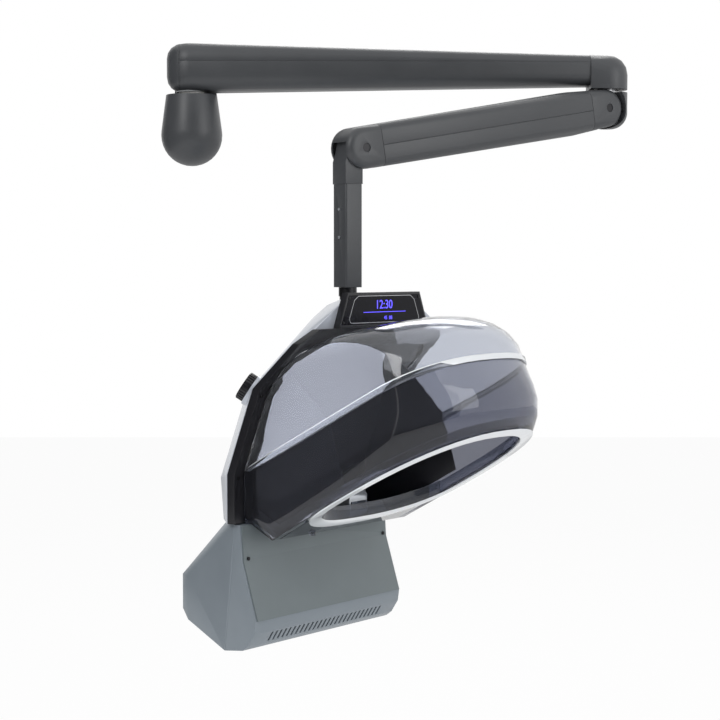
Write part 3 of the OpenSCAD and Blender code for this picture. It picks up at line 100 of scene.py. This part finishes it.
def deselectAll():
    bpy.ops.object.select_all(action="DESELECT")


def makeActive(piece):
    deselectAll()
    piece.select_set(True)
    bpy.context.view_layer.objects.active = piece


def addPlane(name, place, size=1, rotation=(0, 0, 0)):
    deselectAll()
    bpy.ops.mesh.primitive_plane_add(size=size, location=place, rotation=rotation)
    plane = bpy.context.active_object
    plane.name = name
    return plane


def hangLamp(name, place):
    lamp = bpy.data.objects.new(name, bpy.data.lights.new(name, "AREA"))
    bpy.context.scene.collection.objects.link(lamp)
    lamp.location = place
    return lamp


def setCamera():
    look = stage["camera"]
    cameraData = bpy.data.cameras.new("photoCamera")
    camera = bpy.data.objects.new("photoCamera", cameraData)
    bpy.context.scene.collection.objects.link(camera)
    cameraData.lens, cameraData.sensor_width = look["lens"], look["sensor"]
    camera.location = look["at"]
    camera.rotation_euler = (math.radians(look["tilt"]), 0, 0)
    bpy.context.scene.camera = camera
    bpy.context.scene.view_settings.view_transform = "Standard"


def setWorld():
    world = bpy.data.worlds.new("studio")
    bpy.context.scene.world = world
    world.use_nodes = True
    tree = world.node_tree
    tree.nodes.clear()
    # camera, glass and gloss see a white background, and everything else gets the lower light of the world
    path = addNode(tree, "ShaderNodeLightPath")
    seen = addNode(tree, "ShaderNodeMath", {"operation": "ADD", "use_clamp": True},
                   links={0: path.outputs["Is Camera Ray"], 1: path.outputs["Is Transmission Ray"]})
    shown = addNode(tree, "ShaderNodeMath", {"operation": "ADD", "use_clamp": True},
                    links={0: seen.outputs[0], 1: path.outputs["Is Glossy Ray"]})
    light = addNode(tree, "ShaderNodeBackground", values={"Color": stage["white"], "Strength": stage["worldLevel"]})
    white = addNode(tree, "ShaderNodeBackground", values={"Color": stage["white"], "Strength": stage["whiteLevel"]})
    mix = addNode(tree, "ShaderNodeMixShader", links={0: shown.outputs[0], 1: light.outputs[0], 2: white.outputs[0]})
    addNode(tree, "ShaderNodeOutputWorld", links={"Surface": mix.outputs[0]})


def setLamps():
    for name, place, wide, power in stage["lamps"]:
        lamp = hangLamp(name, place)
        lamp.data.size, lamp.data.energy = wide, power
        aim = Vector(stage["lampsAimAt"]) - Vector(place)
        lamp.rotation_euler = aim.to_track_quat("-Z", "Y").to_euler()
    box = stage["softbox"]
    soft = hangLamp("softbox", box["at"])
    soft.data.shape, soft.data.size, soft.data.size_y = "RECTANGLE", box["wide"], box["high"]
    soft.data.energy, soft.data.color = box["power"], linearColour(box["tint"])[:3]
    soft.rotation_euler = (math.radians(90), 0, math.radians(box["turn"]))
    soft.visible_camera = soft.visible_diffuse = soft.visible_transmission = False
    soft.light_linking.receiver_collection = bpy.data.collections.new("glassInSoftbox")


def setCards():
    felt, shader = startFinish("blackFeltCard")
    shader.inputs["Base Color"].default_value = linearColour(stage["felt"]["colour"])
    shader.inputs["Roughness"].default_value = stage["felt"]["rough"]
    for name, place, turn, wide, high in stage["cards"]:
        card = addPlane(name, place, rotation=(math.radians(90), 0, math.radians(turn)))
        card.scale = (wide, high, 1)
        card.visible_camera = card.visible_diffuse = card.visible_transmission = card.visible_shadow = False
        card.data.materials.append(felt)


def setFloor():
    look = stage["floor"]
    floor = addPlane("studioFloor", look["at"], look["size"])
    material = bpy.data.materials.new("whitePaperFloor")
    material.use_nodes = True
    tree = material.node_tree
    tree.nodes.clear()
    paper = addNode(tree, "ShaderNodeBsdfDiffuse", values={"Color": look["paper"]})
    glow = addNode(tree, "ShaderNodeEmission", values={"Color": stage["white"], "Strength": stage["whiteLevel"]})
    path = addNode(tree, "ShaderNodeLightPath")
    share = addNode(tree, "ShaderNodeMath", {"operation": "MULTIPLY"}, {1: look["cameraShare"]},
                    {0: path.outputs["Is Camera Ray"]})
    mix = addNode(tree, "ShaderNodeMixShader", links={0: share.outputs[0], 1: paper.outputs[0], 2: glow.outputs[0]})
    addNode(tree, "ShaderNodeOutputMaterial", links={"Surface": mix.outputs[0]})
    floor.data.materials.append(material)


setCamera()
setWorld()
setLamps()
setCards()
setFloor()
print("stage set")

# finishes, named for what the real ones are: colour and shade mix from patch to patch, and so do the two values of
# rough, and grain is the real size of the surface's grain in millimetres
finishes = {
    # moulded ABS with a fine grain: a soft sheen along the arm
    "arm_cover": {
        "name": "grainedGreyAbs", "colour": "484A4D", "shade": "3F4144",
        "rough": (0.34, 0.46), "grain": 0.9, "bump": 0.10},
    # powder coated steel: a mid grey, dull skin with a slight pitting
    "frame_steel": {
        "name": "powderCoatedSteel", "colour": "9A9C9E", "shade": "8D8F92",
        "rough": (0.45, 0.6), "grain": 0.6, "bump": 0.12},
    # turned steel: bright metal with clear highlights
    "bright_steel": {
        "name": "turnedBrightSteel", "colour": "C9CACC", "shade": "B9BABD",
        "rough": (0.2, 0.34), "grain": 0.5, "bump": 0.04, "metal": 1.0},
    # blackened steel: dark, with a low metal gleam
    "dark_steel": {
        "name": "blackenedSteel", "colour": "3C3C3E", "shade": "323234",
        "rough": (0.3, 0.42), "grain": 0.5, "bump": 0.06, "metal": 0.8},
    # machined brass: warm and bright
    "brass": {
        "name": "machinedBrass", "colour": "C7A25A", "shade": "B8934C",
        "rough": (0.22, 0.36), "grain": 0.5, "bump": 0.04, "metal": 1.0},
    # moulded acetal: an even, milky white
    "pale_plastic": {
        "name": "acetalWasher", "colour": "E6E5E0", "shade": "DCDBD6",
        "rough": (0.35, 0.45), "grain": 0.6, "bump": 0.05},
    # lacquered ABS with fine metal flake: pale silver under a thin clear coat
    "silver_shell": {
        "name": "silverLacqueredAbs", "colour": "C6CBD4", "shade": "BBC0CA",
        "rough": (0.28, 0.36), "grain": 0.5, "bump": 0.05, "metal": 0.25, "coat": 0.35},
    # moulded ABS, satin: near black with soft highlights, kept smooth so that it doesn't speckle behind clear pieces
    "black_plastic": {
        "name": "satinBlackAbs", "colour": "242428", "shade": "1C1C20",
        "rough": (0.26, 0.36), "grain": 0.7, "bump": 0.02},
    # polished white acrylic: a glossy white line; the same white is painted on the seam strip's upward faces as a
    # painted highlight
    "light_strip": {
        "name": "glossWhiteAcrylic", "colour": "F2F5F8", "shade": "E8ECF1",
        "rough": (0.08, 0.14), "grain": 2.0, "bump": 0.01, "coat": 0.5},
    # smoked acrylic: a dark window that reflects little
    "display_glass": {
        "name": "smokedAcrylicWindow", "colour": "0E0E18", "shade": "0A0A12",
        "rough": (0.12, 0.2), "grain": 2.0, "bump": 0.01, "specular": 0.15},
    # printed board under solder mask: a deep, slightly glossy green
    "circuit_board": {
        "name": "greenSolderMask", "colour": "1E6B3A", "shade": "185A30",
        "rough": (0.3, 0.45), "grain": 1.2, "bump": 0.1},
    # lacquered ABS, grey: a cool satin with a little flake
    "grey_shell": {
        "name": "greyLacqueredAbs", "colour": "8A939B", "shade": "808991",
        "rough": (0.32, 0.42), "grain": 0.7, "bump": 0.07, "metal": 0.15},
    # painted sheet metal: a darker grey than the shell, and a little duller
    "grey_panel": {
        "name": "greyPaintedSheet", "colour": "757E81", "shade": "6D7679",
        "rough": (0.36, 0.46), "grain": 0.5, "bump": 0.06, "metal": 0.1},
    # natural polypropylene: pale and waxy
    "tank_plastic": {
        "name": "naturalPolypropylene", "colour": "D8DEE8", "shade": "CDD4DF",
        "rough": (0.4, 0.5), "grain": 1.0, "bump": 0.05},
    # ABS with a bright metal skin: it shines like nickel plate
    "bright_plastic": {
        "name": "metallisedAbs", "colour": "CDD1D6", "shade": "C0C4CA",
        "rough": (0.12, 0.2), "grain": 1.0, "bump": 0.02, "metal": 0.6},
}
# clear solids, where the colour is the tint that each surface crossed adds
clearFinishes = {
    # moulded clear acrylic: almost no tint and sharp reflections
    "clear_hood": {"name": "clearAcrylicHood", "colour": "E0E3EA", "clear": 0.97, "rough": (0.015, 0.03)},
    # clear acrylic strip: a greyer tint than the hood's
    "clear_trim": {"name": "clearAcrylicTrim", "colour": "A9ADB6", "clear": 0.9, "rough": (0.03, 0.06)},
    # moulded smoked polycarbonate: a cool grey that deepens where two walls lie behind each other
    "smoked_visor": {"name": "smokedPolycarbonate", "colour": "9A9DAA", "clear": 0.97, "rough": (0.02, 0.04)},
    # the same plastic in the tray, a little duller
    "smoked_tray": {"name": "smokedPolycarbonateTray", "colour": "9499A5", "clear": 0.9, "rough": (0.03, 0.06)},
}
# shared by the finishes: patch and pit in millimetres, and one refractive index, acrylic's, for all that is clear
surface = {
    "patch": 60, "patchDetail": 3.0, "patchRough": 0.5,
    "grainDetail": 2.0, "grainDrawn": 2, "pit": 0.2,
    "coatRough": 0.08, "specular": 0.5, "clearIor": 1.49,
}
# the pins are blackened where their ends show, and the screws of the post are nickel plated
ownFinish = {"arm_pins": "dark_steel", "post_screws": "bright_plastic"}


def surfacePattern(tree, look, shader):
    place = addNode(tree, "ShaderNodeTexCoord")
    patch = addNode(tree, "ShaderNodeTexNoise",
                    values={"Scale": 1 / (surface["patch"] * millimetre), "Detail": surface["patchDetail"],
                            "Roughness": surface["patchRough"]},
                    links={"Vector": place.outputs["Object"]})
    rough = addNode(tree, "ShaderNodeMapRange", values={"To Min": look["rough"][0], "To Max": look["rough"][1]},
                    links={"Value": patch.outputs[0]})
    tree.links.new(rough.outputs[0], shader.inputs["Roughness"])
    return place, patch


def opaqueFinish(look):
    material, shader = startFinish(look["name"])
    tree = material.node_tree
    shader.inputs["Metallic"].default_value = look.get("metal", 0.0)
    shader.inputs["Coat Weight"].default_value = look.get("coat", 0.0)
    shader.inputs["Coat Roughness"].default_value = surface["coatRough"]
    shader.inputs["Specular IOR Level"].default_value = look.get("specular", surface["specular"])
    place, patch = surfacePattern(tree, look, shader)
    # the grain is drawn at twice its real size so that it shows
    grain = addNode(tree, "ShaderNodeTexNoise",
                    values={"Scale": 1 / (surface["grainDrawn"] * look["grain"] * millimetre),
                            "Detail": surface["grainDetail"]},
                    links={"Vector": place.outputs["Object"]})
    tone = addNode(tree, "ShaderNodeMix", {"data_type": "RGBA"},
                   {"A": linearColour(look["shade"]), "B": linearColour(look["colour"])},
                   {"Factor": patch.outputs[0]})
    tree.links.new(tone.outputs["Result"], shader.inputs["Base Color"])
    bump = addNode(tree, "ShaderNodeBump", values={"Strength": look["bump"], "Distance": surface["pit"] * millimetre},
                   links={"Height": grain.outputs[0]})
    tree.links.new(bump.outputs[0], shader.inputs["Normal"])
    return material


def clearFinish(look):
    material, shader = startFinish(look["name"])
    shader.inputs["Base Color"].default_value = linearColour(look["colour"])
    shader.inputs["Transmission Weight"].default_value = look["clear"]
    shader.inputs["IOR"].default_value = surface["clearIor"]
    surfacePattern(material.node_tree, look, shader)
    return material


materials = {slot: opaqueFinish(look) for slot, look in finishes.items()}
materials.update({slot: clearFinish(look) for slot, look in clearFinishes.items()})
for node, piece in frame["nodes"].items():
    for holder in piece.material_slots:
        holder.link = "OBJECT"
        holder.material = materials[ownFinish.get(node, slotOf[node])]
print("finishes made:", len(materials))

# mouldings whose solid is made of flat facets: name, edge width in millimetres, and the angle in degrees
# up to which neighbouring faces are shaded as one surface
mouldings = {
    "bracket_cover": ("bracketHousing", 1.5, 38),
    "upper_cover_top": ("upperArmCover", 1.0, 40),
    "upper_cover_bottom": ("upperArmTray", 1.0, 40),
    "wall_end_cap": ("wallEndCap", 0.8, 40),
    "elbow_cap": ("elbowCap", 1.0, 40),
    "lower_cover_top": ("lowerArmCover", 0.6, 40),
    "lower_cover_bottom": ("lowerArmTray", 0.6, 40),
    "lower_elbow_cap": ("lowerArmElbowCap", 0.7, 40),
    "lower_post_cap": ("lowerArmPostCap", 0.7, 40),
    "knuckle": ("elbowDrum", 1.2, 35),
    "post_head": ("postHead", 4.0, 45),
    "post_sleeve": ("postSleeve", 5.0, 45),
    "rear_shell": ("rearHousing", 4.0, 42),
    "bezel": ("blackBezel", 1.5, 35),
    "lower_rear_shell": ("boilerHousing", 5.0, 42),
    "lower_front_shell": ("lowerFrontShell", 1.2, 42),
    "front_panel": ("bentFrontPanel", 0.8, 35),
    "display_housing": ("displayHousing", 1.0, 35),
    "filler_cap": ("ribbedFillerCap", 0.6, 35),
    "inner_liner": ("hoodLiner", 0.6, 35),
    "steam_outlet": ("steamOutlet", 1.2, 35),
    "drip_tray": ("dripTray", 0.5, 35),
}
# thin clear pieces keep the form of their solid and are only smoothed
clearPieces = {
    "upper_hood": ("clearHood", 45),
    "visor": ("smokedVisor", 50),
    "seam_trim": ("seamStrip", 50),
    "rim_light": ("rimStrip", 50),
}
softboxShows = ["upper_hood", "seam_trim", "rim_light"]  # the only pieces that the softbox lights
# a painted highlight: the seam strip's faces that look upward take the glossy white finish, standing in for the
# bright line of light along its upper edge
seamPaintedHighlight = {"node": "seam_trim", "finish": "light_strip", "upward": 0.25}
# how a copy is dressed: corners within mergeWithin millimetres become one, faces within flatWithin degrees become
# one, and edges sharper than edgeFrom degrees are rounded in edgeSteps
dressing = {"mergeWithin": 0.01, "flatWithin": 0.5, "edgeFrom": 28, "edgeSteps": 3}


def mergedCopy(node, pieceName):
    piece = bpy.data.objects.new(pieceName, frame["nodes"][node].data.copy())
    bpy.context.scene.collection.objects.link(piece)
    makeActive(piece)
    bpy.ops.object.mode_set(mode="EDIT")
    bpy.ops.mesh.select_all(action="SELECT")
    bpy.ops.mesh.remove_doubles(threshold=dressing["mergeWithin"] * millimetre)
    bpy.ops.mesh.customdata_custom_splitnormals_clear()
    bpy.ops.object.mode_set(mode="OBJECT")
    return piece


def standFor(piece, node):
    piece.data.materials.clear()
    piece.data.materials.append(materials[slotOf[node]])
    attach(piece, bodyOf[node])
    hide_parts(node)


for node, (pieceName, edge, smoothAngle) in mouldings.items():
    piece = mergedCopy(node, pieceName)
    bpy.ops.object.mode_set(mode="EDIT")
    bpy.ops.mesh.select_all(action="SELECT")
    bpy.ops.mesh.dissolve_limited(angle_limit=math.radians(dressing["flatWithin"]))
    bpy.ops.object.mode_set(mode="OBJECT")
    bevel = piece.modifiers.new("edge", "BEVEL")
    bevel.width, bevel.segments, bevel.limit_method = edge * millimetre, dressing["edgeSteps"], "ANGLE"
    bevel.angle_limit, bevel.use_clamp_overlap = math.radians(dressing["edgeFrom"]), True
    bpy.ops.object.modifier_apply(modifier="edge")
    bpy.ops.object.shade_smooth_by_angle(angle=math.radians(smoothAngle))
    standFor(piece, node)
for node, (pieceName, smoothAngle) in clearPieces.items():
    piece = mergedCopy(node, pieceName)
    bpy.ops.object.shade_smooth_by_angle(angle=math.radians(smoothAngle))
    standFor(piece, node)
    if node in softboxShows:
        bpy.data.collections["glassInSoftbox"].objects.link(piece)
    # painted highlight: the seam strip's upward faces are coloured white where the light catches its edge
    if node == seamPaintedHighlight["node"]:
        piece.data.materials.append(materials[seamPaintedHighlight["finish"]])
        for face in piece.data.polygons:
            face.material_index = 1 if face.normal.z > seamPaintedHighlight["upward"] else 0
print("mouldings dressed:", len(mouldings) + len(clearPieces))

# display: plain numbers and lines, lit blue, in millimetres on the square head; numbers are name, words, height,
# across and up from the window's middle
display = {
    "face": -76.2, "middle": -33.0, "glowColour": "5A50F0", "strength": 1.6,
    "numbers": [
        ("displayTime", "12:30", 19, -2, 6.5),
        ("displayMinutes", "45  08", 8, 8, -14),
    ],
    "numberDepth": 0.15,
    "line": {"up": -4.5, "long": 104, "thick": 0.9, "deep": 0.3, "edge": 0.1, "edgeSteps": 2},
    # a thin metal line round the window, wider at its foot, with cut corners
    "frame": {"top": 142, "foot": 178, "high": 42, "corner": 7, "thick": 0.8, "deep": 0.3},
}


def glowFinish():
    material, shader = startFinish("blueDisplayGlow")
    shader.inputs["Base Color"].default_value = linearColour(display["glowColour"])
    shader.inputs["Emission Color"].default_value = linearColour(display["glowColour"])
    shader.inputs["Emission Strength"].default_value = display["strength"]
    return material


def onWindow(across=0, up=0):
    return across * millimetre, display["face"] * millimetre, (display["middle"] + up) * millimetre


def onDisplay(piece, material):
    piece.data.materials.clear()
    piece.data.materials.append(material)
    bpy.ops.object.transform_apply(location=True, rotation=True, scale=True)
    piece.data.transform(headPlace)
    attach(piece, "head")


glow = glowFinish()
for pieceName, words, height, across, up in display["numbers"]:
    deselectAll()
    bpy.ops.object.text_add(location=onWindow(across, up), rotation=(math.radians(90), 0, 0))
    piece = bpy.context.active_object
    piece.name = pieceName
    piece.data.body, piece.data.size = words, height * millimetre
    piece.data.extrude = display["numberDepth"] * millimetre
    piece.data.align_x, piece.data.align_y = "CENTER", "CENTER"
    bpy.ops.object.convert(target="MESH")
    onDisplay(bpy.context.active_object, glow)

lineLook = display["line"]
deselectAll()
bpy.ops.mesh.primitive_cube_add(size=1, location=onWindow(up=lineLook["up"]))
litLine = bpy.context.active_object
litLine.name = "displayLine"
litLine.scale = [lineLook[side] * millimetre for side in ("long", "deep", "thick")]
bpy.ops.object.transform_apply(location=False, rotation=False, scale=True)
bevel = litLine.modifiers.new("soft", "BEVEL")
bevel.width, bevel.segments = lineLook["edge"] * millimetre, lineLook["edgeSteps"]
bpy.ops.object.modifier_apply(modifier="soft")
onDisplay(litLine, glow)

frameLook = display["frame"]
windowLine = addPlane("displayFrameLine", onWindow(), rotation=(math.radians(90), 0, 0))
for corner in windowLine.data.vertices:
    corner.co.x *= frameLook["top" if corner.co.y > 0 else "foot"] * millimetre
    corner.co.y *= frameLook["high"] * millimetre
bpy.ops.object.mode_set(mode="EDIT")
bpy.ops.mesh.select_all(action="SELECT")
bpy.ops.mesh.bevel(affect="VERTICES", offset=frameLook["corner"] * millimetre, segments=1)
bpy.ops.mesh.select_all(action="SELECT")
bpy.ops.mesh.inset(thickness=frameLook["thick"] * millimetre)
bpy.ops.mesh.delete(type="FACE")
bpy.ops.object.mode_set(mode="OBJECT")
solid = windowLine.modifiers.new("thick", "SOLIDIFY")
solid.thickness = frameLook["deep"] * millimetre
bpy.ops.object.modifier_apply(modifier="thick")
onDisplay(windowLine, materials["bright_steel"])
print("display marks made")
